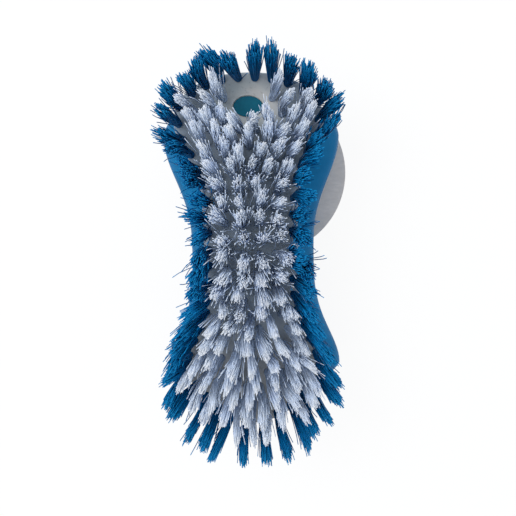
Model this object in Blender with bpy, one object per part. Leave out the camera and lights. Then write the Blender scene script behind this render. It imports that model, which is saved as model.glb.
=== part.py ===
"""Waisted hand scrub brush, lying on its back with its bristles up.

A hollow handle carries a flat tuft block, which plugs into it with a skirt and four pegs.
The face of the block is cut into slices: short cross strips with white tufts, and pieces of
the rim with blue ones. A round card is glued in a shallow seat in the back of the handle.
Lengths are in metres, +Z is the way the bristles point and +Y runs along the brush.
The origin lies under the middle of the brush, on the surface that it rests on.
"""

import math
from typing import NamedTuple

import bmesh
import bpy
from mathutils import Vector


class Lobe(NamedTuple):
    """One of the two ends of an outline."""

    width: float  # half its width where it is widest
    reach: float  # from the waist to where it is widest
    end: float  # from the waist to its tip
    power: float  # 2 makes the end an ellipse, more makes it squarer, less makes it pointed
    swell: float  # how late it swells from the waist: 1 is a plain cosine


class Outline(NamedTuple):
    """A waisted outline: two lobes with a narrow middle, the same on both sides."""

    waist: float  # half the width at the middle
    head: Lobe  # the blunt lobe, towards +Y
    toe: Lobe  # the more pointed lobe, towards -Y


# Outlines of the tuft block, the widest level of the handle, and the flat on its back
block_outline = Outline(
    waist=0.0190,
    head=Lobe(width=0.0297, reach=0.0530, end=0.0724, power=2.2, swell=2.3),
    toe=Lobe(width=0.0286, reach=0.0440, end=0.0716, power=1.75, swell=2.0),
)
flare_outline = Outline(
    waist=0.0260,
    head=Lobe(width=0.0367, reach=0.0470, end=0.0706, power=1.7, swell=1.3),
    toe=Lobe(width=0.0371, reach=0.0510, end=0.0698, power=1.4, swell=1.7),
)
crown_outline = Outline(
    waist=0.0125,
    head=Lobe(width=0.0205, reach=0.0340, end=0.0530, power=2.2, swell=1.3),
    toe=Lobe(width=0.0200, reach=0.0340, end=0.0520, power=2.0, swell=1.3),
)

# Handle: from the surface that the brush lies on to its widest level, and from there to its rim
flare_height = 0.0140
shoulder_height = 0.0128
wall = 0.0024
floor_thickness = 0.0026
rim_wall = 0.0022
# How the side of the handle draws in above its widest level: more is rounder
shoulder_power = 1.7
rib_thickness = 0.0016
rib_spacing = 0.0340
rib_count = 3
boss_radius = 0.0045
boss_spacing = 0.0340
boss_count = 4
boss_wall = 0.0018
boss_drop = 0.0010

# Tuft block, and the slices that make its face
block_thickness = 0.0041
slice_thickness = 0.0020
block_overhang = 0.0008
block_chamfer = 0.0008
skirt_depth = 0.0030
skirt_wall = 0.0016
peg_grip = 0.0060
peg_end_gap = 0.0010

# Clearance wherever two pieces lie against each other
fit = 0.0003
# How far a cutting solid runs past the face that it cuts
overrun = 0.0010

# Slices of the tuft block's face
rim_band = 0.0066
rim_tuft_inset = 0.0021
rim_groups = 18
tufts_in_group = 3
row_pitch = 0.0062
tuft_pitch = 0.0062
tuft_margin = 0.0022

# Tufts: each has a few thick strands that part towards their tips
strands_in_tuft = 3
strand_sides = 3
bristle_length = 0.0262
root_spread = 0.00098
tip_spread = 0.0025
root_radius = 0.00052
tip_radius = 0.00085
# Along the brush the tufts fan out as if each came from a line this far below the face
fan_along = 0.185
# Across it they lean by at most this slope, and by 0.7 of it at this distance from the middle:
# the worn toe splays more, and the splay grows between two places along the brush
most_lean = 0.40
head_lean_width = 0.0450
toe_lean_width = 0.0200
splay_start = -0.0020
splay_end = -0.0220
# How far all the tufts lean towards +X besides
side_lean = 0.045
# How much of a full turn each tuft is turned from the last one
tuft_turn_share = 0.382

# Plain oval badge on the bare patch at one end, and how far the tufts beside it keep off
badge_half_width = 0.0058
badge_half_length = 0.0040
badge_thickness = 0.0006
badge_pocket = 0.0008
badge_margin = 0.0027

# Round card under the back
card_radius = 0.0356
card_thickness = 0.0006
card_place = (0.0050, 0.0305)
card_seat_gap = 0.0006

# Points along a quarter of an outline: from the waist to the lobe, and round the lobe
side_steps = 11
end_steps = 9
# Levels of the handle below and above its widest one
belly_steps = 6
shoulder_steps = 4
# Points along one side of a cross strip, and of one that closes an end of the field
strip_steps = 2
end_strip_steps = 7
# Where a piece of the rim starts or stops this close to a point of its outline, it skips the point
skip_share = 0.2
round_steps = 64
small_round_steps = 20


def half_width(outline, y):
    """Half the width of an outline at the place y along it."""
    lobe = outline.head if y > 0 else outline.toe
    y = abs(y)
    if y <= lobe.reach:
        turn = math.pi * (y / lobe.reach) ** lobe.swell
        return outline.waist + (lobe.width - outline.waist) * (1 - math.cos(turn)) / 2
    along = (y - lobe.reach) / (lobe.end - lobe.reach)
    return lobe.width * max(0.0, 1 - along**lobe.power) ** (1 / lobe.power)


def lobe_side(outline, lobe, way):
    """Points of a lobe's side at +X, from the waist to its tip. way is 1 for the head, or -1."""
    points = []
    for i in range(side_steps):
        y = way * lobe.reach * i / side_steps
        points.append((half_width(outline, y), y))
    for i in range(end_steps):
        turn = math.pi / 2 * i / end_steps
        across = math.cos(turn) ** (2 / lobe.power)
        along = math.sin(turn) ** (2 / lobe.power)
        points.append((lobe.width * across, way * (lobe.reach + (lobe.end - lobe.reach) * along)))
    points.append((0.0, way * lobe.end))
    return points


def loop_of(outline):
    """The whole outline, counter-clockwise seen from above, starting at the waist at +X."""
    head = lobe_side(outline, outline.head, 1)
    toe = lobe_side(outline, outline.toe, -1)
    right = head + [(-x, y) for x, y in head[-2::-1]]
    left = [(-x, y) for x, y in toe[1:]] + toe[-2:0:-1]
    return right + left


def inset(outline, amount):
    """The outline drawn in by an amount all round."""
    head, toe = [
        lobe._replace(width=lobe.width - amount, end=lobe.end - amount)
        for lobe in (outline.head, outline.toe)
    ]
    return Outline(outline.waist - amount, head, toe)


def blend(first, second, share):
    """A loop of points that lies a share of the way from one loop to another."""
    return [
        (x0 + (x1 - x0) * share, y0 + (y1 - y0) * share)
        for (x0, y0), (x1, y1) in zip(first, second)
    ]


def material(name, colour, roughness):
    """A plain plastic or card material."""
    made = bpy.data.materials.new(name)
    made.use_nodes = True
    shader = made.node_tree.nodes["Principled BSDF"]
    shader.inputs["Base Color"].default_value = (*colour, 1.0)
    shader.inputs["Roughness"].default_value = roughness
    shader.inputs["Metallic"].default_value = 0.0
    return made


def object_from(name, bm, finish=None):
    """Turns a bmesh into an object with its faces pointing out."""
    bmesh.ops.recalc_face_normals(bm, faces=bm.faces)
    mesh = bpy.data.meshes.new(name)
    bm.to_mesh(mesh)
    bm.free()
    made = bpy.data.objects.new(name, mesh)
    bpy.context.collection.objects.link(made)
    if finish:
        mesh.materials.append(finish)
    return made


def loft(bm, loops):
    """Joins closed loops of points into one solid. loops holds (points, height) in order."""
    rings = [[bm.verts.new((x, y, z)) for x, y in points] for points, z in loops]
    bm.faces.new(rings[0][::-1])
    for low, high in zip(rings, rings[1:]):
        for i in range(len(low)):
            j = (i + 1) % len(low)
            bm.faces.new((low[i], low[j], high[j], high[i]))
    bm.faces.new(rings[-1])


def circle(centre, radius, steps, first=0.0):
    """Points round a circle, counter-clockwise from the angle first."""
    turns = [first + 2 * math.pi * i / steps for i in range(steps)]
    return [(centre[0] + radius * math.cos(t), centre[1] + radius * math.sin(t)) for t in turns]


def cutter(name, bm):
    """A guide solid that only takes part in Booleans."""
    made = object_from(name, bm)
    made.hide_render = True
    made.display_type = "WIRE"
    return made


def add_boolean(target, other, operation):
    """Adds an exact Boolean to an object."""
    step = target.modifiers.new(other.name, "BOOLEAN")
    step.operation = operation
    step.solver = "EXACT"
    step.object = other


def smooth(made, angle=math.radians(35)):
    """Shades an object smooth, but for its sharp edges."""
    made.data.shade_smooth()
    made.data.set_sharp_from_angle(angle=angle)


# Heights, outlines and places that follow from the sizes above
rim_height = flare_height + shoulder_height
seat_height = rim_height + fit
block_top = seat_height + block_thickness
face_height = block_top + fit + slice_thickness
rim_outline = inset(block_outline, block_overhang)
mouth_outline = inset(rim_outline, rim_wall)
throat_height = rim_height - skirt_depth
boss_top = throat_height - boss_drop
white_field = inset(block_outline, rim_band + fit)
field_length = white_field.head.end + white_field.toe.end
white_rows = round(field_length / row_pitch)
even_row_pitch = field_length / white_rows
# The badge lies in the middle of the last cross strip, which is two rows wide
badge_place = white_field.head.end - even_row_pitch
boss_places = [(i - (boss_count - 1) / 2) * boss_spacing for i in range(boss_count)]
rib_places = [(i - (rib_count - 1) / 2) * rib_spacing for i in range(rib_count)]


def handle_levels(low, wide, top, low_height, top_height):
    """Levels of a pebble shape that swells from a flat and draws in again to its rim."""
    low, wide, top = loop_of(low), loop_of(wide), loop_of(top)
    levels = []
    for i in range(belly_steps + 1):
        turn = math.pi / 2 * i / belly_steps
        height = low_height + (flare_height - low_height) * (1 - math.cos(turn))
        levels.append((blend(low, wide, math.sin(turn)), height))
    for i in range(1, shoulder_steps + 1):
        share = i / shoulder_steps
        height = flare_height + (top_height - flare_height) * share
        levels.append((blend(wide, top, share**shoulder_power), height))
    return levels


def make_handle(finish):
    """The hollow handle: ribs, bosses for the pegs and a seat for the card are part of it."""
    bm = bmesh.new()
    loft(bm, handle_levels(crown_outline, flare_outline, rim_outline, 0.0, rim_height))
    handle = object_from("handle_shell", bm, finish)

    bm = bmesh.new()
    levels = handle_levels(
        crown_outline, inset(flare_outline, wall), mouth_outline, floor_thickness, throat_height
    )
    loft(bm, levels + [(levels[-1][0], rim_height + overrun)])
    cavity = cutter("cavity", bm)

    bm = bmesh.new()
    half_span = max(flare_outline.head.width, flare_outline.toe.width)
    for place in rib_places:
        low, high = place - rib_thickness / 2, place + rib_thickness / 2
        points = [(-half_span, low), (half_span, low), (half_span, high), (-half_span, high)]
        loft(bm, [(points, 0.0), (points, boss_top)])
    add_boolean(cavity, cutter("ribs", bm), "DIFFERENCE")

    bm = bmesh.new()
    for place in boss_places:
        points = circle((0.0, place), boss_radius, small_round_steps)
        loft(bm, [(points, 0.0), (points, boss_top)])
    add_boolean(cavity, cutter("bosses", bm), "DIFFERENCE")
    add_boolean(handle, cavity, "DIFFERENCE")

    bm = bmesh.new()
    for place in boss_places:
        points = circle((0.0, place), boss_radius - boss_wall, small_round_steps)
        loft(bm, [(points, boss_top - peg_grip - peg_end_gap), (points, boss_top + overrun)])
    add_boolean(handle, cutter("peg_holes", bm), "DIFFERENCE")

    bm = bmesh.new()
    points = circle(card_place, card_radius + card_seat_gap, round_steps)
    loft(bm, [(points, -overrun), (points, card_thickness + fit)])
    add_boolean(handle, cutter("card_seat", bm), "DIFFERENCE")
    smooth(handle)


def make_block(finish):
    """The tuft block below its face: a plate with a skirt and four pegs."""
    skirt_outline = inset(mouth_outline, fit)
    inner = loop_of(inset(skirt_outline, skirt_wall))
    outer = loop_of(skirt_outline)
    edge = loop_of(block_outline)
    bm = bmesh.new()
    loft(
        bm,
        [
            (inner, seat_height),
            (inner, seat_height - skirt_depth),
            (outer, seat_height - skirt_depth),
            (outer, seat_height),
            (loop_of(inset(block_outline, block_chamfer)), seat_height),
            (edge, seat_height + block_chamfer),
            (edge, block_top),
        ],
    )
    block = object_from("tuft_block", bm, finish)

    bm = bmesh.new()
    for place in boss_places:
        points = circle((0.0, place), boss_radius - boss_wall - fit, small_round_steps)
        loft(bm, [(points, boss_top - peg_grip), (points, seat_height + overrun)])
    add_boolean(block, cutter("pegs", bm), "UNION")
    smooth(block)


def lean_of(x, y):
    """The way that a tuft rooted at x, y points."""
    share = min(1.0, max(0.0, (y - splay_start) / (splay_end - splay_start)))
    share = share * share * (3 - 2 * share)
    width = head_lean_width + (toe_lean_width - head_lean_width) * share
    across = side_lean + most_lean * x / math.hypot(x, width)
    return Vector((across, y / fan_along, 1.0)).normalized()


def strand_loops(x, y, number):
    """The strands of the tuft rooted at x, y: (points at the face, points at the tips, height)."""
    way = lean_of(x, y) * bristle_length
    strands = []
    for i in range(strands_in_tuft):
        turn = 2 * math.pi * (i / strands_in_tuft + number * tuft_turn_share)
        ahead = Vector((math.cos(turn), math.sin(turn)))
        root = Vector((x, y)) + root_spread * ahead
        tip = Vector((x, y)) + way.xy + tip_spread * ahead
        low = circle(root, root_radius, strand_sides, turn)
        high = circle(tip, tip_radius, strand_sides, turn)
        strands.append((low, high, face_height + way.z))
    return strands


def make_slice(name, border, tufts, finish, pockets=()):
    """A slice of the block's face with its tufts: one solid with a flat back."""
    bm = bmesh.new()
    top = [bm.verts.new((x, y, face_height)) for x, y in border]
    bottom = [bm.verts.new((x, y, block_top + fit)) for x, y in border]
    for i in range(len(border)):
        j = (i + 1) % len(border)
        bm.faces.new((bottom[i], bottom[j], top[j], top[i]))
    bm.faces.new(bottom[::-1])
    rims = [top]
    grown = [loops for number, (x, y) in tufts for loops in strand_loops(x, y, number)]
    for low, high, height in grown + list(pockets):
        root = [bm.verts.new((x, y, face_height)) for x, y in low]
        tip = [bm.verts.new((x, y, height)) for x, y in high]
        for i in range(len(root)):
            j = (i + 1) % len(root)
            bm.faces.new((root[i], root[j], tip[j], tip[i]))
        bm.faces.new(tip)
        rims.append(root)
    edges = []
    for rim in rims:
        for i in range(len(rim)):
            edges.append(bm.edges.get((rim[i], rim[(i + 1) % len(rim)])))
    bmesh.ops.triangle_fill(bm, use_beauty=True, edges=edges, normal=(0.0, 0.0, 1.0))
    object_from(name, bm, finish)


def along_loop(points, place):
    """The point at a fractional index of a closed loop."""
    i = math.floor(place)
    share = place - i
    (x0, y0), (x1, y1) = points[i % len(points)], points[(i + 1) % len(points)]
    return (x0 + (x1 - x0) * share, y0 + (y1 - y0) * share)


def even_places(points, count):
    """Fractional indices that part a closed loop into equal lengths, from its start to its end."""
    lengths = [math.dist(points[i], points[(i + 1) % len(points)]) for i in range(len(points))]
    places, done, i = [], 0.0, 0
    for k in range(count):
        want = sum(lengths) * k / count
        while done + lengths[i] < want:
            done += lengths[i]
            i += 1
        places.append(i + (want - done) / lengths[i])
    places.append(float(len(points)))
    return places


def make_rim_tufts(finish):
    """The blue tufts round the rim, in groups that share a piece of the rim."""
    count = rim_groups * tufts_in_group
    line = loop_of(inset(block_outline, rim_tuft_inset))
    outer = loop_of(block_outline)
    inner = loop_of(inset(block_outline, rim_band))
    # Twice as many places as tufts: every other one lies between two tufts
    places = even_places(line, 2 * count)
    for group in range(rim_groups):
        first = group * tufts_in_group
        tufts = [
            (k, along_loop(line, places[2 * k + 1])) for k in range(first, first + tufts_in_group)
        ]
        start, stop = places[2 * first], places[2 * (first + tufts_in_group)]
        start += fit / 2 / math.dist(along_loop(line, start), along_loop(line, start + 1))
        stop -= fit / 2 / math.dist(along_loop(line, stop - 1), along_loop(line, stop))
        between = range(math.ceil(start + skip_share), math.floor(stop - skip_share) + 1)
        steps = [start, *between, stop]
        border = [along_loop(outer, s) for s in steps] + [along_loop(inner, s) for s in steps[::-1]]
        make_slice(f"blue_rim_tufts_{group + 1:02d}", border, tufts, finish)


def strip(outline, low, high, steps):
    """The part of an outline between two places along the brush."""
    shares = [i / steps for i in range(steps + 1)]
    # The points crowd towards an end that the outline closes
    if high >= outline.head.end:
        shares = [math.sin(math.pi / 2 * share) for share in shares]
    elif low <= -outline.toe.end:
        shares = [1 - math.cos(math.pi / 2 * share) for share in shares]
    ys = [low + (high - low) * share for share in shares]
    right = [(half_width(outline, y), y) for y in ys]
    left = [(-x, y) for x, y in right[::-1] if x > fit]
    return [(max(x, 0.0), y) for x, y in right] + left


def make_white_rows(finish):
    """Cross strips with white tufts. The last strip at +Y holds the bare patch and its pocket."""
    field, pitch = white_field, even_row_pitch
    number = 0
    for row in range(white_rows - 1):
        last = row == white_rows - 2
        low = row * pitch - field.toe.end
        high = low + pitch * (2 if last else 1)
        tufts = []
        for middle in [low + pitch / 2] + ([high - pitch / 2] if last else []):
            reach = half_width(inset(field, tuft_margin), middle)
            count = round(2 * reach / tuft_pitch) + 1
            for k in range(count):
                x = -reach + 2 * reach * k / (count - 1)
                number += 1
                if not last or abs(x) > badge_half_width + badge_margin:
                    tufts.append((number, (x, middle)))
        pockets = []
        if last:
            sizes = (badge_half_width + fit, badge_half_length + fit)
            hollow = oval((0.0, badge_place), *sizes)
            pockets.append((hollow, hollow, face_height - badge_pocket))
        ends = row == 0 or last
        border = strip(
            field,
            low if row == 0 else low + fit / 2,
            high if last else high - fit / 2,
            end_strip_steps if ends else strip_steps,
        )
        make_slice(f"white_tuft_row_{row + 1:02d}", border, tufts, finish, pockets)


def oval(centre, half_across, half_along):
    """Points round an ellipse, counter-clockwise."""
    return [
        (centre[0] + half_across * x, centre[1] + half_along * y)
        for x, y in circle((0.0, 0.0), 1.0, small_round_steps)
    ]


def make_badge(finish):
    """A plain oval badge in the pocket of the bare patch."""
    bm = bmesh.new()
    points = oval((0.0, badge_place), badge_half_width, badge_half_length)
    bottom = face_height - badge_pocket + fit
    loft(bm, [(points, bottom), (points, bottom + badge_thickness)])
    smooth(object_from("oval_badge", bm, finish))


def make_card(finish):
    """The round card glued under the back, level with the flat that the brush rests on."""
    bm = bmesh.new()
    points = circle(card_place, card_radius, round_steps)
    loft(bm, [(points, 0.0), (points, card_thickness)])
    smooth(object_from("label_card", bm, finish))


def main():
    for old in list(bpy.data.objects):
        bpy.data.objects.remove(old)
    make_handle(material("blue handle plastic", (0.012, 0.19, 0.45), 0.38))
    make_block(material("pale block plastic", (0.50, 0.52, 0.52), 0.45))
    make_rim_tufts(material("blue nylon", (0.010, 0.12, 0.30), 0.45))
    make_white_rows(material("white nylon", (0.72, 0.74, 0.82), 0.40))
    make_badge(material("teal ink", (0.010, 0.16, 0.22), 0.40))
    make_card(material("pale card", (0.48, 0.48, 0.52), 0.60))


main()
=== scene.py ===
"""Looks of the waisted hand scrub brush: moulded plastics, a round card and its filaments.

The brush lies on its back. Lengths are in metres, +Z is the way the bristles point and +Y runs
along the brush. Every piece takes its place from the solids in the frame.
"""

import math
from typing import NamedTuple

import bmesh
import bpy
import numpy as np
from mathutils import Matrix, Vector


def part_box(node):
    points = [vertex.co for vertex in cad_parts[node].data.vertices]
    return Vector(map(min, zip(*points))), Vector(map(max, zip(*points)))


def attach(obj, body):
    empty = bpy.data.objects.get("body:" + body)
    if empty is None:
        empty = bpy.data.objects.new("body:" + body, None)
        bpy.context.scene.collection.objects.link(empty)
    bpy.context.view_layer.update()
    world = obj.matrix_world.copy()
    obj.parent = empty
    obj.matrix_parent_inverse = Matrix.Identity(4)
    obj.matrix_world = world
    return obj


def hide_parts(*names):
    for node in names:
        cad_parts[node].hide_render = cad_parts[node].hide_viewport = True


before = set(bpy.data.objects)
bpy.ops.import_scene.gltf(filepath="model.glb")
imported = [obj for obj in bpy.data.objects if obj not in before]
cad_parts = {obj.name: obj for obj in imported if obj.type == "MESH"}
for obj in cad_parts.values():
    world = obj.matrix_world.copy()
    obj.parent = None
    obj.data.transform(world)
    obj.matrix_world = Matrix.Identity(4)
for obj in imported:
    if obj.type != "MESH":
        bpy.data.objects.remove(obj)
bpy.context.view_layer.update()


class Lobe(NamedTuple):
    """One of the two ends of an outline."""

    width: float  # half its width where it is widest
    reach: float  # from the waist to where it is widest
    end: float  # from the waist to its tip
    power: float  # 2 makes the end an ellipse, more makes it squarer, less makes it pointed
    swell: float  # how late it swells from the waist: 1 is a plain cosine


class Outline(NamedTuple):
    """A waisted outline: two lobes with a narrow middle, the same on both sides."""

    waist: float  # half the width at the middle
    head: Lobe  # the blunt lobe, towards +Y
    toe: Lobe  # the more pointed lobe, towards -Y


class Bristle(NamedTuple):
    """How the filaments of a tuft stand."""

    filaments: int
    # Half the bundle's width at its tips, along its row and across it
    head_spread: tuple
    waist_spread: tuple
    toe_spread: tuple
    spread_range: tuple  # least and most of those widths that a tuft has, as shares
    flare: float  # how late the bundle opens: 1 is a plain cone
    clumps: int  # in how many clumps the tips draw together
    clump_pull: float  # how far they do, as a share
    frizz: float  # how far a tip strays from its place
    worn_frizz: float  # how much further it does at the worn waist
    rounding: float  # how much shorter the outermost filaments are, as a share
    slant: float  # how much longer one side of a tuft is than its middle, as a share
    lean: float  # how far a whole tuft leans at random, as a slope
    worn_lean: float  # how much further out it leans at the worn waist
    head_push: float  # how much further towards the head it leans over the head's half
    kink: float  # how far a filament bends to and fro
    length_change: float  # how unlike the lengths are, as a share
    stray_share: float  # part of the filaments that stick out of the bundle
    wild_share: float  # part of the filaments that lie far out to the side
    long_share: float  # part of the filaments that stick out past all the others
    seed: int


class Throw(NamedTuple):
    """How far some filaments stand out, as multiples of their places in the bundle."""

    least: float
    change: float  # how much more it may be
    end_drop: float  # how much smaller that change is at both ends of the brush


class Speckle(NamedTuple):
    """Noise that a colour or roughness varies with."""

    size: float  # of its features
    low: float  # the values of the noise between which it sets in
    high: float
    detail: float = 3.0
    stretch: tuple = (1.0, 1.0, 1.0)  # of its features along the axes


class Relief(NamedTuple):
    """Fine relief of a surface."""

    size: float  # of its features
    depth: float
    detail: float
    strength: float = 0.5
    stretch: tuple = (1.0, 1.0, 1.0)


class Nylon(NamedTuple):
    """The finish of one kind of filament."""

    name: str
    shine: float
    root_shade: tuple  # painted shade colour at the roots
    pale: tuple  # colour further up
    tip: tuple  # colour at the tips, where it was cut: a painted highlight
    tint: tuple  # colour that is mixed in here and there
    end_tint_share: float  # how much of the tint is mixed in besides at both ends of the brush


# Outlines of the tuft block, the widest level of the handle, and the flat on its back
block_outline = Outline(
    waist=0.0190,
    head=Lobe(width=0.0297, reach=0.0530, end=0.0724, power=2.2, swell=2.3),
    toe=Lobe(width=0.0286, reach=0.0440, end=0.0716, power=1.75, swell=2.0),
)
flare_outline = Outline(
    waist=0.0260,
    head=Lobe(width=0.0367, reach=0.0470, end=0.0706, power=1.7, swell=1.3),
    toe=Lobe(width=0.0371, reach=0.0510, end=0.0698, power=1.4, swell=1.7),
)
crown_outline = Outline(
    waist=0.0125,
    head=Lobe(width=0.0205, reach=0.0340, end=0.0530, power=2.2, swell=1.3),
    toe=Lobe(width=0.0200, reach=0.0340, end=0.0520, power=2.0, swell=1.3),
)

# Handle
flare_height = 0.0140
wall = 0.0024
floor_thickness = 0.0026
rim_wall = 0.0022
rim_round = 0.0006
shoulder_power = 1.7
rib_thickness = 0.0016
rib_spacing = 0.0340
rib_count = 3
boss_radius = 0.0045
boss_spacing = 0.0340
boss_count = 4
boss_wall = 0.0018
boss_drop = 0.0010
parting_height = 0.00010
parting_width = 0.0007

# Tuft block
slice_thickness = 0.0020
block_overhang = 0.0008
block_chamfer = 0.0008
block_round = 0.0005
skirt_depth = 0.0030
skirt_wall = 0.0016
peg_grip = 0.0060
peg_end_gap = 0.0010
hole_radius = 0.00140
hole_chamfer = 0.0002
hole_depth = 0.0016

# Between pieces that lie against each other
fit = 0.0003
# How far a cutting shape runs past what it cuts
overrun = 0.0010

# Where the tufts stand
rim_band = 0.0066
rim_tuft_inset = 0.0021
rim_groups = 18
tufts_in_group = 3
row_pitch = 0.0062
tuft_pitch = 0.0062
tuft_margin = 0.0022
badge_margin = 0.0027

# Filaments
bristle_length = 0.0262
# Slopes of the tufts: along the brush their place over fan_along, and across it side_lean with
# up to most_lean outwards. The smaller the lean width, the sooner they come near that
fan_along = 0.185
side_lean = 0.045
most_lean = 0.40
head_lean_width = 0.0450
toe_lean_width = 0.0200
# Where the wider splay of the worn toe sets in, and where it is full
splay_start = -0.0020
splay_end = -0.0220
# Where the push towards the head sets in and is full, and where it fades again
push_start = -0.0120
push_full = 0.0140
push_fade = 0.0400
push_end = 0.0600
filament_radius = 0.00019
tip_share = 0.95
filament_sides = 3
# Where a filament has its rings, as shares of its length
ring_shares = (0.0, 0.45, 0.8, 1.0)
# No filament stands higher over the face than this many bristle lengths
highest_share = 1.05
root_radius = 0.00145
root_depth = 0.0012
# How wide the bundle is at the bottom of its hole, as a share of its width at the face
root_share = 0.9
# How far the oval of a tuft's tips is turned, in radians, and how far a tuft is bowed
turn_change = 0.2
bow_depth = 0.0006
# Clumps stand within this share of the bundle's width
clump_reach_share = 0.8
stray_throw = Throw(least=1.3, change=1.7, end_drop=0.6)
wild_throw = Throw(least=2.0, change=1.3, end_drop=0.8)
# How many fewer strays there are at the worn toe and at both ends, as a share
stray_drop_share = 0.6
# The least and most that strays and filaments that stick out have of the usual length, and how
# much less the shortest strays have at both ends of the brush
stray_length_shares = (0.90, 0.98)
stray_end_cut = 0.20
long_shares = (1.04, 1.14)
white_bristle = Bristle(
    filaments=120,
    head_spread=(0.0018, 0.0021),
    waist_spread=(0.0017, 0.0017),
    toe_spread=(0.0016, 0.0017),
    spread_range=(0.75, 1.3),
    flare=0.95,
    clumps=4,
    clump_pull=0.42,
    frizz=0.00022,
    worn_frizz=0.00045,
    rounding=0.20,
    slant=0.05,
    lean=0.045,
    worn_lean=0.0,
    head_push=0.14,
    kink=0.00010,
    length_change=0.045,
    stray_share=0.32,
    wild_share=0.030,
    long_share=0.008,
    seed=3,
)
blue_bristle = Bristle(
    filaments=125,
    head_spread=(0.0036, 0.0025),
    waist_spread=(0.0040, 0.0026),
    toe_spread=(0.0021, 0.0019),
    spread_range=(0.75, 1.2),
    flare=0.85,
    clumps=6,
    clump_pull=0.25,
    frizz=0.00030,
    worn_frizz=0.00025,
    rounding=0.12,
    slant=0.04,
    lean=0.040,
    worn_lean=0.03,
    head_push=0.0,
    kink=0.00010,
    length_change=0.070,
    stray_share=0.18,
    wild_share=0.004,
    long_share=0.012,
    seed=8,
)

# Tufts that use has bent out of line: their numbers, and how much further each leans across and
# along the brush
bent_white = {95: (-0.14, -0.08), 96: (-0.08, -0.24), 97: (-0.13, 0.0)}
bent_blue = {
    9: (-0.08, -0.04),
    10: (-0.08, -0.06),
    11: (-0.11, -0.05),
    12: (-0.05, -0.02),
    13: (-0.09, 0.0),
    14: (-0.05, -0.12),
    15: (0.0, -0.06),
    16: (0.02, -0.06),
    17: (0.04, -0.05),
    18: (0.06, -0.05),
    19: (-0.06, -0.07),
    20: (-0.16, -0.08),
    21: (-0.11, -0.08),
    29: (-0.05, 0.0),
    30: (-0.10, 0.0),
    31: (-0.08, 0.0),
    32: (-0.03, 0.0),
    44: (-0.07, 0.0),
    45: (-0.07, 0.0),
    46: (-0.03, 0.0),
    47: (-0.06, 0.0),
    48: (-0.08, 0.0),
}

# All colours are linear. Finish of the handle: mottled, and scuffed paler near its widest level
handle_shine = 0.05
handle_colours = ((0.005, 0.145, 0.335, 1.0), (0.009, 0.185, 0.415, 1.0))
handle_mottle = Speckle(size=0.018, low=0.35, high=0.65)
scuff_colour = (0.09, 0.29, 0.52, 1.0)
scuff_share = 0.35
scuff_reach = 0.0045
handle_scuffs = Speckle(size=0.0015, low=0.55, high=0.75, detail=6.0, stretch=(1.0, 4.0, 0.6))
handle_roughness = (0.34, 0.50)
handle_smears = Speckle(size=0.006, low=0.3, high=0.7)
handle_grain = Relief(size=0.0011, depth=0.00008, detail=4.0)

# Finish of the tuft block: another grey towards the toe, painted shade that darkens it among the
# tufts so that the bare patch stays paler, grime all over
block_shine = 0.2
shaded_field_colours = ((0.34, 0.40, 0.46, 1.0), (0.47, 0.465, 0.45, 1.0))
# Where the grey of the toe sets in along the brush, and where it is full
toe_colour_places = (-0.020, -0.050)
unshaded_bare_colours = ((0.51, 0.56, 0.56, 1.0), (0.63, 0.62, 0.59, 1.0))
bare_patches = Speckle(size=0.014, low=0.35, high=0.65)
# How far from the badge the paler bare patch starts to fade into the painted shade among the
# tufts, and where it has
shade_fade_reaches = (0.009, 0.017)
grime_colour = (0.13, 0.14, 0.15, 1.0)
grime_share = 0.30
block_grime = Speckle(size=0.0016, low=0.56, high=0.72, detail=5.0)
block_roughness = (0.48, 0.64)
block_smears = Speckle(size=0.004, low=0.3, high=0.7)
block_grain = Relief(size=0.0008, depth=0.00006, detail=4.0)

# Finish of the badge, and the share of its thickness that its edge is rounded over
badge_roughness = 0.5
badge_shine = 0.08
badge_colours = ((0.006, 0.130, 0.205, 1.0), (0.010, 0.160, 0.235, 1.0))
badge_patches = Speckle(size=0.0022, low=0.3, high=0.7, detail=4.0)
badge_grain = Relief(size=0.0005, depth=0.00004, detail=3.0)
badge_edge_share = 1 / 3

# Finish of the card, and the share of its thickness that is bevelled off at each edge
card_roughness = 0.55
card_colours = ((0.72, 0.66, 0.625, 1.0), (0.81, 0.745, 0.705, 1.0))
card_fibre = Speckle(size=0.0012, low=0.35, high=0.7, detail=5.0, stretch=(3.0, 1.0, 1.0))
rub_colour = (0.62, 0.58, 0.55, 1.0)
rub_share = 0.25
card_rubs = Speckle(size=0.007, low=0.58, high=0.70, detail=6.0)
card_grain = Relief(size=0.0006, depth=0.00004, detail=4.0)
card_edge_share = 1 / 5

# Finish of the filaments
nylon_roughness = 0.4
# The painted shade of the roots is gone at this share of the bristles' length
root_shade_share = 0.7
# Streaks let some strands keep part of the painted root shade all along
streaks = Speckle(size=0.0009, low=0.3, high=0.7, detail=2.0, stretch=(1.0, 1.0, 14.0))
streak_shares = (0.6, 1.0)
tints = Speckle(size=0.007, low=0.45, high=0.7, detail=1.0, stretch=(1.0, 1.0, 9.0))
tint_share = 0.5
# How far from the waist the further tint of the ends starts, and where it is full
end_tint_places = (0.030, 0.055)
# From which share of the bristles' length the painted tip highlight sets in, and how strong it
# gets
highlight_start_share = 0.80
tip_highlight_share = 0.7
nylon_grain = Relief(
    size=0.0004, depth=0.00003, detail=2.0, strength=0.3, stretch=(1.0, 1.0, 6.0)
)
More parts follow.
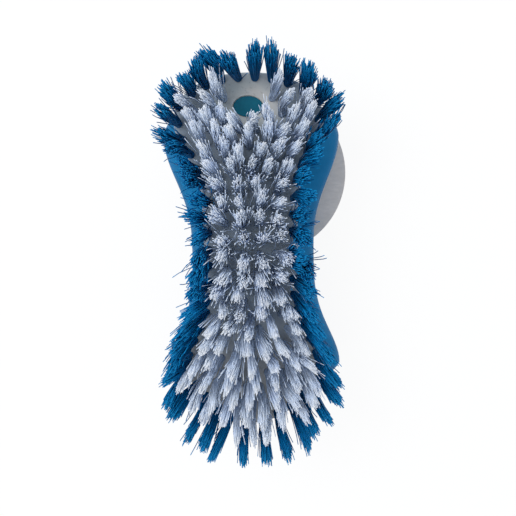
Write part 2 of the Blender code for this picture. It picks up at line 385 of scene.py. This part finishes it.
# Each kind's colour at the roots is painted shade, and its colour at the tips a painted highlight
white_nylon = Nylon(
    name="white nylon",
    shine=0.5,
    root_shade=(0.68, 0.81, 1.0, 1.0),
    pale=(0.82, 0.89, 1.0, 1.0),
    tip=(0.98, 0.98, 1.0, 1.0),
    tint=(0.62, 0.75, 1.0, 1.0),
    end_tint_share=0.0,
)
blue_nylon = Nylon(
    name="blue nylon",
    shine=0.06,
    root_shade=(0.002, 0.160, 0.420, 1.0),
    pale=(0.006, 0.260, 0.585, 1.0),
    tip=(0.014, 0.310, 0.640, 1.0),
    tint=(0.002, 0.118, 0.310, 1.0),
    end_tint_share=0.55,
)
noise_roughness = 0.55

# Floor, light from all round, and lamp
plain_white = (1.0, 1.0, 1.0, 1.0)
floor_half_size = 3.0
floor_colour = (0.86, 0.86, 0.86, 1.0)
floor_glow = 1.03
floor_glow_share = 0.88
sky_colour = (0.90, 0.95, 1.0, 1.0)
sky_strength = 0.72
lamp_place = Vector((-0.30, 0.28, 0.75))
lamp_size = 0.40
lamp_power = 2.9

# Edges that turn more sharply than this stay sharp
smooth_angle = math.radians(35)

# Points along a quarter of an outline, levels of the handle, and points round small shapes
side_steps = 24
end_steps = 24
belly_steps = 18
shoulder_steps = 14
round_steps = 5
circle_steps = 128
small_circle_steps = 48
hole_steps = 16

# Camera, fitted to the photograph: its focal length is given in pixels of the square image
camera_place = Vector((0.0146, 0.0536, 0.3531))
camera_target = Vector((0.0029, -0.0012, 0.0335))
camera_roll = -0.017
focal_pixels = 799.6
image_pixels = 516
sensor_width = 36.0
near_limit = 0.01

# Lengths and places that follow
rim_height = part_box("handle_shell")[1].z
seat_height = rim_height + fit
block_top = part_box("tuft_block")[1].z
face_height = block_top + fit + slice_thickness


def inset(outline, amount):
    """The outline drawn in by an amount all round."""
    head, toe = [
        lobe._replace(width=lobe.width - amount, end=lobe.end - amount)
        for lobe in (outline.head, outline.toe)
    ]
    return Outline(outline.waist - amount, head, toe)


rim_outline = inset(block_outline, block_overhang)
mouth_outline = inset(rim_outline, rim_wall)
throat_height = rim_height - skirt_depth
boss_top = throat_height - boss_drop
boss_places = [(i - (boss_count - 1) / 2) * boss_spacing for i in range(boss_count)]
rib_places = [(i - (rib_count - 1) / 2) * rib_spacing for i in range(rib_count)]
white_field = inset(block_outline, rim_band + fit)
field_length = white_field.head.end + white_field.toe.end
white_rows = round(field_length / row_pitch)
even_row_pitch = field_length / white_rows


def half_width(outline, y):
    """Half the width of an outline at the place y along it."""
    lobe = outline.head if y > 0 else outline.toe
    y = abs(y)
    if y <= lobe.reach:
        turn = math.pi * (y / lobe.reach) ** lobe.swell
        return outline.waist + (lobe.width - outline.waist) * (1 - math.cos(turn)) / 2
    along = (y - lobe.reach) / (lobe.end - lobe.reach)
    return lobe.width * max(0.0, 1 - along**lobe.power) ** (1 / lobe.power)


def lobe_side(outline, lobe, way):
    """Points of a lobe's side at +X, from the waist to its tip. way is 1 for the head, or -1."""
    points = []
    for i in range(side_steps):
        y = way * lobe.reach * i / side_steps
        points.append((half_width(outline, y), y))
    for i in range(end_steps):
        turn = math.pi / 2 * i / end_steps
        across = math.cos(turn) ** (2 / lobe.power)
        along = math.sin(turn) ** (2 / lobe.power)
        points.append((lobe.width * across, way * (lobe.reach + (lobe.end - lobe.reach) * along)))
    points.append((0.0, way * lobe.end))
    return points


def loop_of(outline):
    """The whole outline, counter-clockwise seen from above, starting at the waist at +X."""
    head = lobe_side(outline, outline.head, 1)
    toe = lobe_side(outline, outline.toe, -1)
    right = head + [(-x, y) for x, y in head[-2::-1]]
    left = [(-x, y) for x, y in toe[1:]] + toe[-2:0:-1]
    return right + left


def blend(first, second, share):
    """A loop of points that lies a share of the way from one loop to another."""
    return [
        (x0 + (x1 - x0) * share, y0 + (y1 - y0) * share)
        for (x0, y0), (x1, y1) in zip(first, second)
    ]


def circle(centre, radius, steps):
    """Points round a circle, counter-clockwise."""
    turns = [2 * math.pi * i / steps for i in range(steps)]
    return [(centre[0] + radius * math.cos(t), centre[1] + radius * math.sin(t)) for t in turns]


def oval(centre, half_across, half_along, steps):
    """Points round an ellipse, counter-clockwise."""
    return [
        (centre[0] + half_across * x, centre[1] + half_along * y)
        for x, y in circle((0.0, 0.0), 1.0, steps)
    ]


def add_ring(bm, points, height):
    """A ring of vertices at a height."""
    return [bm.verts.new((x, y, height)) for x, y in points]


def join_rings(bm, low, high):
    """The band of faces between two rings."""
    for i in range(len(low)):
        j = (i + 1) % len(low)
        bm.faces.new((low[i], low[j], high[j], high[i]))


def loft(bm, loops):
    """Joins closed loops of points into one solid. loops holds (points, height) in order."""
    rings = [add_ring(bm, points, height) for points, height in loops]
    bm.faces.new(rings[0][::-1])
    for low, high in zip(rings, rings[1:]):
        join_rings(bm, low, high)
    bm.faces.new(rings[-1])


def object_from(name, bm, finish=None):
    """Turns a bmesh into an object with its faces pointing out."""
    bmesh.ops.recalc_face_normals(bm, faces=bm.faces)
    mesh = bpy.data.meshes.new(name)
    bm.to_mesh(mesh)
    bm.free()
    made = bpy.data.objects.new(name, mesh)
    bpy.context.collection.objects.link(made)
    if finish:
        mesh.materials.append(finish)
    return made


def solid(name, shapes, finish=None):
    """One object of closed shapes, each given by its levels, as loft takes them."""
    bm = bmesh.new()
    for levels in shapes:
        loft(bm, levels)
    return object_from(name, bm, finish)


def cut(target, other, operation="DIFFERENCE"):
    """Applies an exact Boolean to an object and removes the other one."""
    step = target.modifiers.new(other.name, "BOOLEAN")
    step.operation = operation
    step.solver = "EXACT"
    step.object = other
    bpy.context.view_layer.update()
    cut_mesh = bpy.data.meshes.new_from_object(
        target.evaluated_get(bpy.context.evaluated_depsgraph_get())
    )
    target.modifiers.clear()
    target.data = cut_mesh
    bpy.data.objects.remove(other)


def smooth(made):
    """Shades an object smooth but for its sharp edges, with flat faces kept flat."""
    made.data.shade_smooth()
    made.data.set_sharp_from_angle(angle=smooth_angle)
    weighted = made.modifiers.new("flat faces stay flat", "WEIGHTED_NORMAL")
    weighted.keep_sharp = True


def show(made, slot, *nodes):
    """Puts a piece on the brush in place of its solids."""
    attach(made, "root")
    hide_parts(*nodes)


# Finishes
def add(tree, kind, inputs=None, **settings):
    """Adds a shader node. Each input is a value, or a socket to link from."""
    made = tree.nodes.new(kind)
    for key, value in settings.items():
        setattr(made, key, value)
    for key, value in (inputs or {}).items():
        if isinstance(value, bpy.types.NodeSocket):
            tree.links.new(value, made.inputs[key])
        else:
            made.inputs[key].default_value = value
    return made


def new_finish(name, **values):
    """A material with a Principled shader: (material, tree, shader, object coordinates)."""
    made = bpy.data.materials.new(name)
    made.use_nodes = True
    tree = made.node_tree
    shader = tree.nodes["Principled BSDF"]
    for key, value in values.items():
        shader.inputs[key.replace("_", " ")].default_value = value
    where = tree.nodes.new("ShaderNodeTexCoord").outputs["Object"]
    return made, tree, shader, where


def noise(tree, where, kind):
    """Noise with the size, stretch and detail of a speckle or a relief."""
    scale = [1 / (kind.size * stretch) for stretch in kind.stretch]
    scaled = add(tree, "ShaderNodeMapping", {"Vector": where, "Scale": scale})
    inputs = {
        "Vector": scaled.outputs["Vector"],
        "Scale": 1.0,
        "Detail": kind.detail,
        "Roughness": noise_roughness,
    }
    return add(tree, "ShaderNodeTexNoise", inputs).outputs["Fac"]


def ramp(tree, value, low, high, first=0.0, last=1.0):
    """Maps a value from one range to another, clamped."""
    inputs = {"Value": value, "From Min": low, "From Max": high, "To Min": first, "To Max": last}
    return add(tree, "ShaderNodeMapRange", inputs).outputs["Result"]


def speckle(tree, where, kind, first=0.0, last=1.0):
    """A value that varies from the first to the last as a speckle does."""
    return ramp(tree, noise(tree, where, kind), kind.low, kind.high, first, last)


def mix(tree, share, first, second):
    """A colour between two: each is a colour or a socket."""
    # This node's colours are its inputs 6 and 7, and its output 2
    made = add(tree, "ShaderNodeMix", {0: share, 6: first, 7: second}, data_type="RGBA")
    return made.outputs[2]


def reckon(tree, operation, *values):
    """The result of a mathematical operation on numbers and sockets."""
    return add(tree, "ShaderNodeMath", dict(enumerate(values)), operation=operation).outputs[0]


def along_axis(tree, where, axis):
    """One coordinate of a place."""
    return add(tree, "ShaderNodeSeparateXYZ", {"Vector": where}).outputs[axis]


def emboss(tree, shader, where, kind):
    """Gives a shader its fine relief."""
    height = noise(tree, where, kind)
    inputs = {"Height": height, "Distance": kind.depth, "Strength": kind.strength}
    made = add(tree, "ShaderNodeBump", inputs)
    tree.links.new(made.outputs["Normal"], shader.inputs["Normal"])


def handle_finish():
    """Blue moulded plastic: satin, a little mottled, scuffed paler along its widest level."""
    made, tree, shader, where = new_finish("blue handle plastic", Specular_IOR_Level=handle_shine)
    colour = mix(tree, speckle(tree, where, handle_mottle), *handle_colours)
    off = reckon(tree, "SUBTRACT", along_axis(tree, where, "Z"), flare_height)
    near = ramp(tree, reckon(tree, "ABSOLUTE", off), 0.0, scuff_reach, 1.0, 0.0)
    scuffs = reckon(tree, "MULTIPLY", near, speckle(tree, where, handle_scuffs))
    colour = mix(tree, reckon(tree, "MULTIPLY", scuffs, scuff_share), colour, scuff_colour)
    tree.links.new(colour, shader.inputs["Base Color"])
    rough = speckle(tree, where, handle_smears, *handle_roughness)
    tree.links.new(rough, shader.inputs["Roughness"])
    emboss(tree, shader, where, handle_grain)
    return made


def block_finish():
    """Grey moulded plastic, paler on the bare patch, grime and painted shade between the tufts.
    """
    made, tree, shader, where = new_finish("pale block plastic", Specular_IOR_Level=block_shine)
    toe = ramp(tree, along_axis(tree, where, "Y"), *toe_colour_places)
    colour = mix(tree, toe, *shaded_field_colours)
    low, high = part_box("oval_badge")
    places = {0: where, 1: (low + high) / 2}
    gap = add(tree, "ShaderNodeVectorMath", places, operation="DISTANCE").outputs["Value"]
    pale = mix(tree, speckle(tree, where, bare_patches), *unshaded_bare_colours)
    # Painted shade: away from the badge's bare patch the face turns darker among the tufts
    colour = mix(tree, ramp(tree, gap, *shade_fade_reaches, 1.0, 0.0), colour, pale)
    grime = reckon(tree, "MULTIPLY", speckle(tree, where, block_grime), grime_share)
    colour = mix(tree, grime, colour, grime_colour)
    tree.links.new(colour, shader.inputs["Base Color"])
    rough = speckle(tree, where, block_smears, *block_roughness)
    tree.links.new(rough, shader.inputs["Roughness"])
    emboss(tree, shader, where, block_grain)
    return made


def nylon_finish(kind):
    """Nylon filaments: painted root shade and tip highlight, each a little unlike the next."""
    made, tree, shader, where = new_finish(
        kind.name, Roughness=nylon_roughness, Specular_IOR_Level=kind.shine
    )
    height = along_axis(tree, where, "Z")
    # Painted shade: the filaments darken towards their roots
    up = ramp(tree, height, face_height, face_height + root_shade_share * bristle_length)
    up = reckon(tree, "MULTIPLY", up, speckle(tree, where, streaks, *streak_shares))
    colour = mix(tree, up, kind.root_shade, kind.pale)
    colour = mix(tree, speckle(tree, where, tints, 0.0, tint_share), colour, kind.tint)
    out = reckon(tree, "ABSOLUTE", along_axis(tree, where, "Y"))
    out = ramp(tree, out, *end_tint_places, 0.0, kind.end_tint_share)
    colour = mix(tree, out, colour, kind.tint)
    # Painted highlight: the colour pales towards the tips
    highlight_start = face_height + highlight_start_share * bristle_length
    tips = ramp(tree, height, highlight_start, face_height + bristle_length, 0.0, tip_highlight_share)
    colour = mix(tree, tips, colour, kind.tip)
    tree.links.new(colour, shader.inputs["Base Color"])
    emboss(tree, shader, where, nylon_grain)
    return made


def badge_finish():
    """Teal ink on plastic, a little uneven."""
    made, tree, shader, where = new_finish(
        "teal badge", Roughness=badge_roughness, Specular_IOR_Level=badge_shine
    )
    colour = mix(tree, speckle(tree, where, badge_patches), *badge_colours)
    tree.links.new(colour, shader.inputs["Base Color"])
    emboss(tree, shader, where, badge_grain)
    return made


def card_finish():
    """Coated pale card with a faint fibre and a few rubbed spots."""
    made, tree, shader, where = new_finish("pale card", Roughness=card_roughness)
    colour = mix(tree, speckle(tree, where, card_fibre), *card_colours)
    rubs = reckon(tree, "MULTIPLY", speckle(tree, where, card_rubs), rub_share)
    colour = mix(tree, rubs, colour, rub_colour)
    tree.links.new(colour, shader.inputs["Base Color"])
    emboss(tree, shader, where, card_grain)
    return made


# Moulded pieces
def handle_levels(low, wide, top, low_height, top_height):
    """Levels of a pebble shape that swells from a flat and draws in again to its rim."""
    low, wide, top = loop_of(low), loop_of(wide), loop_of(top)
    levels = []
    for i in range(belly_steps + 1):
        turn = math.pi / 2 * i / belly_steps
        height = low_height + (flare_height - low_height) * (1 - math.cos(turn))
        levels.append((blend(low, wide, math.sin(turn)), height))
    for i in range(1, shoulder_steps + 1):
        share = i / shoulder_steps
        height = flare_height + (top_height - flare_height) * share
        levels.append((blend(wide, top, share**shoulder_power), height))
    return levels


def rounded_edge(outline, height, radius):
    """Levels that round an edge from its side to its top."""
    levels = []
    for i in range(1, round_steps + 1):
        turn = math.pi / 2 * i / round_steps
        points = loop_of(inset(outline, radius * (1 - math.cos(turn))))
        levels.append((points, height - radius * (1 - math.sin(turn))))
    return levels


def outer_handle():
    """The outside of the handle, with a fine parting line at its widest level."""
    levels = handle_levels(crown_outline, flare_outline, rim_outline, 0.0, rim_height - rim_round)
    ridge = loop_of(inset(flare_outline, -parting_height))
    widest = levels[belly_steps][0]
    line = [(widest, -parting_width / 2), (ridge, 0.0), (widest, parting_width / 2)]
    levels[belly_steps : belly_steps + 1] = [(points, flare_height + up) for points, up in line]
    return levels + rounded_edge(rim_outline, rim_height, rim_round)


def post(place, radius, low, high):
    """Levels of an upright round post on the middle line of the brush."""
    points = circle((0.0, place), radius, small_circle_steps)
    return [(points, low), (points, high)]


def rib(place):
    """Levels of a rib that runs across the brush."""
    reach = max(flare_outline.head.width, flare_outline.toe.width)
    low, high = place - rib_thickness / 2, place + rib_thickness / 2
    points = [(-reach, low), (reach, low), (reach, high), (-reach, high)]
    return [(points, 0.0), (points, boss_top)]


def make_handle(finish):
    """The hollow handle, with its ribs, bosses and the seat of the card."""
    handle = solid("handle_body", [outer_handle()], finish)
    inner_flare = inset(flare_outline, wall)
    levels = handle_levels(
        crown_outline, inner_flare, mouth_outline, floor_thickness, throat_height
    )
    levels.append((levels[-1][0], rim_height + overrun))
    cavity = solid("cavity", [levels])
    cut(cavity, solid("ribs", [rib(place) for place in rib_places]))
    bosses = [post(place, boss_radius, 0.0, boss_top) for place in boss_places]
    cut(cavity, solid("bosses", bosses))
    cut(handle, cavity)

    hole = boss_radius - boss_wall
    bottom = boss_top - peg_grip - peg_end_gap
    holes = [post(place, hole, bottom, boss_top + overrun) for place in boss_places]
    cut(handle, solid("peg_holes", holes))

    card_low, card_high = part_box("label_card")
    centre = (card_low + card_high) / 2
    radius = (card_high.x - card_low.x) / 2
    points = circle(centre, radius + 2 * fit, circle_steps)
    cut(handle, solid("card_seat", [[(points, -overrun), (points, card_high.z + fit)]]))
    smooth(handle)
    show(handle, "handle_blue", "handle_shell")


def pocket(bm, levels):
    """A pocket in the block's face, from its mouth down. Gives back the ring of its mouth."""
    rings = [add_ring(bm, points, height) for points, height in levels]
    for high, low in zip(rings, rings[1:]):
        join_rings(bm, high, low)
    bm.faces.new(rings[-1])
    return rings[0]


def ring_edges(bm, ring):
    """The edges round a ring, made where there are none yet."""
    pairs = [(ring[i], ring[(i + 1) % len(ring)]) for i in range(len(ring))]
    return [bm.edges.get(pair) or bm.edges.new(pair) for pair in pairs]


def block_levels():
    """Levels of the block, from the inside of its skirt round to the rim of its face."""
    skirt_outline = inset(mouth_outline, fit)
    inner = loop_of(inset(skirt_outline, skirt_wall))
    outer = loop_of(skirt_outline)
    edge = loop_of(block_outline)
    levels = [
        (inner, seat_height),
        (inner, seat_height - skirt_depth),
        (outer, seat_height - skirt_depth),
        (outer, seat_height),
        (loop_of(inset(block_outline, block_chamfer)), seat_height),
        (edge, seat_height + block_chamfer),
        (edge, face_height - block_round),
    ]
    return levels + rounded_edge(block_outline, face_height, block_round)


def make_block(finish, places):
    """The tuft block with its continuous face, the holes of the tufts and the badge's pocket."""
    bm = bmesh.new()
    rings = [add_ring(bm, points, height) for points, height in block_levels()]
    bm.faces.new(rings[0][::-1])
    for low, high in zip(rings, rings[1:]):
        join_rings(bm, low, high)

    rims = [rings[-1]]
    for place in places:
        mouth = circle(place, hole_radius + hole_chamfer, hole_steps)
        hole = circle(place, hole_radius, hole_steps)
        levels = [
            (mouth, face_height),
            (hole, face_height - hole_chamfer),
            (hole, face_height - hole_depth),
        ]
        rims.append(pocket(bm, levels))
    badge_low, badge_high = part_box("oval_badge")
    centre = (badge_low + badge_high) / 2
    half = (badge_high - badge_low) / 2
    points = oval(centre, half.x + fit, half.y + fit, small_circle_steps)
    rims.append(pocket(bm, [(points, face_height), (points, badge_low.z - fit)]))
    edges = [edge for rim in rims for edge in ring_edges(bm, rim)]
    bmesh.ops.triangle_fill(bm, use_beauty=True, edges=edges, normal=(0.0, 0.0, 1.0))
    block = object_from("tuft_block_face", bm, finish)

    peg = boss_radius - boss_wall - fit
    pegs = [post(place, peg, boss_top - peg_grip, seat_height + overrun) for place in boss_places]
    cut(block, solid("pegs", pegs), "UNION")
    smooth(block)
    show(block, "block_grey", "tuft_block")


def make_badge(finish):
    """The plain oval badge, with a soft edge."""
    low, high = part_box("oval_badge")
    centre = (low + high) / 2
    half = (high - low) / 2
    edge = (high.z - low.z) * badge_edge_share
    levels = [(oval(centre, half.x, half.y, small_circle_steps), low.z)]
    for i in range(round_steps + 1):
        turn = math.pi / 2 * i / round_steps
        draw = edge * (1 - math.cos(turn))
        points = oval(centre, half.x - draw, half.y - draw, small_circle_steps)
        levels.append((points, high.z - edge * (1 - math.sin(turn))))
    badge = solid("plain_oval_badge", [levels], finish)
    smooth(badge)
    show(badge, "badge_teal", "oval_badge")


def make_card(finish):
    """The round card under the back, with a cut edge."""
    low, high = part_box("label_card")
    centre = (low + high) / 2
    radius = (high.x - low.x) / 2
    edge = (high.z - low.z) * card_edge_share
    full = circle(centre, radius, circle_steps)
    drawn = circle(centre, radius - edge, circle_steps)
    levels = [(drawn, low.z), (full, low.z + edge), (full, high.z - edge), (drawn, high.z)]
    card = solid("round_card", [levels], finish)
    smooth(card)
    show(card, "card_grey", "label_card")


# Tufts
def along_loop(points, place):
    """The point at a fractional index of a closed loop."""
    i = math.floor(place)
    share = place - i
    (x0, y0), (x1, y1) = points[i % len(points)], points[(i + 1) % len(points)]
    return (x0 + (x1 - x0) * share, y0 + (y1 - y0) * share)


def even_places(points, count):
    """Fractional indices that part a closed loop into equal lengths."""
    lengths = [math.dist(points[i], points[(i + 1) % len(points)]) for i in range(len(points))]
    places, done, i = [], 0.0, 0
    for k in range(count):
        want = sum(lengths) * k / count
        while done + lengths[i] < want:
            done += lengths[i]
            i += 1
        places.append(i + (want - done) / lengths[i])
    return places


def rim_tufts():
    """The blue tufts of each piece of the rim: {node: [(number, place, the rim's turn), ...]}."""
    line = loop_of(inset(block_outline, rim_tuft_inset))
    places = even_places(line, 2 * rim_groups * tufts_in_group)
    groups = {}
    for group in range(rim_groups):
        first = group * tufts_in_group
        tufts = []
        for k in range(first, first + tufts_in_group):
            middle = places[2 * k + 1]
            (x0, y0), (x1, y1) = along_loop(line, middle - 0.5), along_loop(line, middle + 0.5)
            tufts.append((k, along_loop(line, middle), math.atan2(y1 - y0, x1 - x0)))
        groups[f"blue_rim_tufts_{group + 1:02d}"] = tufts
    return groups


def white_tufts():
    """The white tufts of each cross row: {node: [(number, place, the row's turn), ...]}."""
    badge_low, badge_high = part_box("oval_badge")
    bare = (badge_high.x - badge_low.x) / 2 + badge_margin
    field, pitch = white_field, even_row_pitch
    groups, number = {}, 0
    for row in range(white_rows - 1):
        last = row == white_rows - 2
        low = row * pitch - field.toe.end
        tufts = []
        for middle in [low + pitch / 2] + ([low + pitch * 3 / 2] if last else []):
            reach = half_width(inset(field, tuft_margin), middle)
            count = round(2 * reach / tuft_pitch) + 1
            for k in range(count):
                x = -reach + 2 * reach * k / (count - 1)
                number += 1
                if not last or abs(x) > bare:
                    tufts.append((number, (x, middle), 0.0))
        groups[f"white_tuft_row_{row + 1:02d}"] = tufts
    return groups


def set_in(y, start, end):
    """How far something has set in at the place y along the brush: 0 at its start to 1."""
    share = min(1.0, max(0.0, (y - start) / (end - start)))
    return share * share * (3 - 2 * share)


def splay(y):
    """How far the splay of the worn toe has set in at a place along the brush: 0 to 1."""
    return set_in(y, splay_start, splay_end)


def lean_of(x, y):
    """The slopes at which a tuft rooted at x, y leans."""
    width = head_lean_width + (toe_lean_width - head_lean_width) * splay(y)
    return np.array([side_lean + most_lean * x / math.hypot(x, width), y / fan_along])


def tuft_axes(x, y, outness, bend, kind, chance):
    """The way a tuft leans, and the two ways square to it."""
    outwards = math.copysign(kind.worn_lean * (1 - outness), x)
    onwards = kind.head_push * set_in(y, push_start, push_full) * set_in(y, push_end, push_fade)
    bend = np.array(bend) + (outwards, onwards)
    way = np.append(lean_of(x, y) + bend + chance.normal(0.0, kind.lean, 2), 1.0)
    way /= np.linalg.norm(way)
    side = np.cross([0.0, 1.0, 0.0], way)
    side /= np.linalg.norm(side)
    return way, side, np.cross(way, side)


def throw_out(tips, which, throw, outness, chance):
    """Moves some of the tips further out."""
    change = throw.change - throw.end_drop * outness
    tips[which] *= throw.least + change * chance.random((which.sum(), 1))


def place_tips(disc, y, outness, row_turn, kind, chance):
    """The filaments' places in the bundle at its tips, and which of them are strays.

    The bundle is a slanted oval there, drawn together in a few clumps.
    """
    count = len(disc)
    row_turn += chance.normal(0.0, turn_change)
    row_way = np.array([math.cos(row_turn), math.sin(row_turn)])
    end_spread = kind.toe_spread if y < 0 else kind.head_spread
    widths = np.array(kind.waist_spread) * (1 - outness) + np.array(end_spread) * outness
    axes = np.stack([row_way, [-row_way[1], row_way[0]]])
    spread = axes.T @ np.diag(widths * chance.uniform(*kind.spread_range, 2)) @ axes
    tips = disc @ spread
    places = chance.uniform(-clump_reach_share, clump_reach_share, (kind.clumps, 2))
    clumps = places @ spread
    nearest = clumps[np.argmin(((tips[:, None] - clumps[None]) ** 2).sum(2), 1)]
    tips += (nearest - tips) * kind.clump_pull
    frizz = kind.frizz + kind.worn_frizz * (1 - outness) ** 2
    tips += chance.normal(0.0, frizz, (count, 2))
    kept_share = 1 - stray_drop_share * max(splay(y), outness)
    stray = chance.random(count) < kind.stray_share * kept_share
    throw_out(tips, stray, stray_throw, outness, chance)
    wild = chance.random(count) < kind.wild_share
    throw_out(tips, wild, wild_throw, outness, chance)
    return tips, stray


def measure_filaments(disc, tips, stray, outness, axes, kind, chance):
    """The filaments' lengths, from the face to their tips.

    The brush was trimmed level, so the outer filaments of a leaning tuft are longer or shorter.
    """
    count = len(disc)
    way, side, other = axes
    level = tips @ np.array([side[2], other[2]]) / way[2]
    growth = 1 + chance.normal(0.0, kind.length_change, count)
    growth -= kind.rounding * (disc**2).sum(1)
    growth += disc @ chance.normal(0.0, kind.slant, 2)
    least, most = stray_length_shares
    growth[stray] *= chance.uniform(least - stray_end_cut * outness, most, stray.sum())
    sticks_out = chance.random(count) < kind.long_share
    growth[sticks_out] *= chance.uniform(*long_shares, sticks_out.sum())
    return bristle_length * np.minimum(growth, highest_share / way[2]) - level


def filament_paths(place, row_turn, number, bend, kind):
    """Centre lines of a tuft's filaments, filaments by points by 3, and its two side ways."""
    chance = np.random.default_rng((kind.seed, number))
    count = kind.filaments
    x, y = place
    lobe = block_outline.toe if y < 0 else block_outline.head
    outness = min(1.0, abs(y) / lobe.end)
    axes = tuft_axes(x, y, outness, bend, kind, chance)
    way, side, other = axes

    # Places in the bundle: an even spiral, so that no two filaments start at one spot
    step = np.arange(count)
    turn = step * math.pi * (3 - math.sqrt(5)) + chance.uniform(0, 2 * math.pi)
    disc = np.sqrt((step + 0.5) / count)[:, None] * np.stack([np.cos(turn), np.sin(turn)], 1)
    tips, stray = place_tips(disc, y, outness, row_turn, kind, chance)
    length = measure_filaments(disc, tips, stray, outness, axes, kind, chance)

    # The first point is down in the hole, the rest run from the face to the tips
    share = np.array(ring_shares)
    bow = chance.normal(0.0, bow_depth, 2)
    bends = chance.normal(0.0, kind.kink, (count, len(share), 2)) * share[:, None] ** 2
    offset = (
        disc[:, None] * root_radius * (1 - share[:, None])
        + tips[:, None] * share[:, None] ** kind.flare
        + bow * (share * (1 - share))[:, None] * 4
        + bends
    )
    start = np.array([x, y, face_height])
    paths = (
        start
        + length[:, None, None] * share[:, None] * way
        + offset[..., :1] * side
        + offset[..., 1:] * other
    )
    root_places = disc[:, None] * root_radius * root_share
    roots = start - root_depth * way + root_places @ np.stack([side, other])
    return np.concatenate([roots, paths], 1), side, other


def tube_faces(first, rings):
    """Faces of a closed tube whose vertices lie ring by ring from the first one on."""
    faces = []
    for ring in range(rings - 1):
        low = first + ring * filament_sides
        high = low + filament_sides
        for i in range(filament_sides):
            j = (i + 1) % filament_sides
            faces.append((low + i, low + j, high + j, high + i))
    last = first + (rings - 1) * filament_sides
    faces.append(tuple(first + i for i in reversed(range(filament_sides))))
    faces.append(tuple(last + i for i in range(filament_sides)))
    return faces


def grow(name, node, tufts, bent, kind, finish, slot):
    """All the filaments of a node's tufts, as one piece of closed tubes."""
    clouds, faces = [], []
    rings = len(ring_shares) + 1
    turns = 2 * math.pi * np.arange(filament_sides) / filament_sides
    radii = np.full(rings, filament_radius)
    radii[-1] *= tip_share
    for number, place, row_turn in tufts:
        bend = bent.get(number, (0.0, 0.0))
        paths, side, other = filament_paths(place, row_turn, number, bend, kind)
        section = np.cos(turns)[:, None] * side + np.sin(turns)[:, None] * other
        cloud = paths[:, :, None] + radii[None, :, None, None] * section
        clouds.append(cloud.reshape(-1, 3))
    points = np.concatenate(clouds)
    for first in range(0, len(points), rings * filament_sides):
        faces += tube_faces(first, rings)
    mesh = bpy.data.meshes.new(name)
    mesh.from_pydata(points.tolist(), [], faces)
    # The sides are shaded round, and the cut ends stay flat
    sides = filament_sides * (rings - 1)
    rounded = [True] * sides + [False, False]
    mesh.polygons.foreach_set("use_smooth", rounded * (len(faces) // len(rounded)))
    mesh.materials.append(finish)
    piece = bpy.data.objects.new(name, mesh)
    bpy.context.collection.objects.link(piece)
    show(piece, slot, node)


def make_brush():
    """All the pieces of the brush."""
    rim, rows = rim_tufts(), white_tufts()
    holes = [place for tufts in [*rim.values(), *rows.values()] for _, place, _ in tufts]
    make_handle(handle_finish())
    make_block(block_finish(), holes)
    make_badge(badge_finish())
    make_card(card_finish())
    white, blue = nylon_finish(white_nylon), nylon_finish(blue_nylon)
    for node, tufts in rows.items():
        name = node.replace("white_tuft_row", "white_filaments")
        grow(name, node, tufts, bent_white, white_bristle, white, "nylon_white")
    for node, tufts in rim.items():
        name = node.replace("blue_rim_tufts", "blue_filaments")
        grow(name, node, tufts, bent_blue, blue_bristle, blue, "nylon_blue")


# Studio
def make_floor():
    """A plain floor that the camera sees as white, with the brush's soft shadow."""
    bm = bmesh.new()
    half = floor_half_size
    bm.faces.new(add_ring(bm, [(-half, -half), (half, -half), (half, half), (-half, half)], 0.0))
    finish = bpy.data.materials.new("white floor")
    finish.use_nodes = True
    tree = finish.node_tree
    tree.nodes.clear()
    ray = tree.nodes.new("ShaderNodeLightPath").outputs
    seen = reckon(tree, "MAXIMUM", ray["Is Camera Ray"], ray["Is Glossy Ray"])
    share = reckon(tree, "MULTIPLY", seen, floor_glow_share)
    plain = add(tree, "ShaderNodeBsdfDiffuse", {"Color": floor_colour}).outputs[0]
    light = {"Color": plain_white, "Strength": floor_glow}
    glow = add(tree, "ShaderNodeEmission", light).outputs[0]
    both = add(tree, "ShaderNodeMixShader", {0: share, 1: plain, 2: glow}).outputs[0]
    add(tree, "ShaderNodeOutputMaterial", {"Surface": both})
    object_from("floor", bm, finish)


def make_world():
    """Pale light from all round. The camera and clear materials see plain white."""
    world = bpy.data.worlds.new("studio")
    bpy.context.scene.world = world
    world.use_nodes = True
    tree = world.node_tree
    tree.nodes.clear()
    ray = tree.nodes.new("ShaderNodeLightPath").outputs
    seen = reckon(tree, "MAXIMUM", ray["Is Camera Ray"], ray["Is Transmission Ray"])
    sky = {"Color": sky_colour, "Strength": sky_strength}
    around = add(tree, "ShaderNodeBackground", sky).outputs[0]
    plain = add(tree, "ShaderNodeBackground", {"Color": plain_white, "Strength": 1.0}).outputs[0]
    both = add(tree, "ShaderNodeMixShader", {0: seen, 1: around, 2: plain}).outputs[0]
    add(tree, "ShaderNodeOutputWorld", {"Surface": both})


def make_lamp():
    """A square soft lamp that faces the brush."""
    lamp = bpy.data.lights.new("key lamp", "AREA")
    lamp.size = lamp_size
    lamp.energy = lamp_power
    made = bpy.data.objects.new("key lamp", lamp)
    made.location = lamp_place
    made.rotation_mode = "QUATERNION"
    made.rotation_quaternion = (-lamp_place).to_track_quat("-Z", "Y")
    bpy.context.collection.objects.link(made)


def make_camera():
    """The camera at the photograph's viewing angle."""
    lens = bpy.data.cameras.new("camera")
    lens.sensor_width = sensor_width
    lens.lens = sensor_width * focal_pixels / image_pixels
    lens.clip_start = near_limit
    back = (camera_place - camera_target).normalized()
    right = Vector((0.0, 1.0, 0.0)).cross(back).normalized()
    up = back.cross(right)
    turned = Matrix((right, up, back)).transposed() @ Matrix.Rotation(camera_roll, 3, "Z")
    made = bpy.data.objects.new("camera", lens)
    made.matrix_world = Matrix.Translation(camera_place) @ turned.to_4x4()
    bpy.context.collection.objects.link(made)
    bpy.context.scene.camera = made


make_camera()
make_brush()
make_floor()
make_world()
make_lamp()
bpy.context.scene.view_settings.view_transform = "Standard"
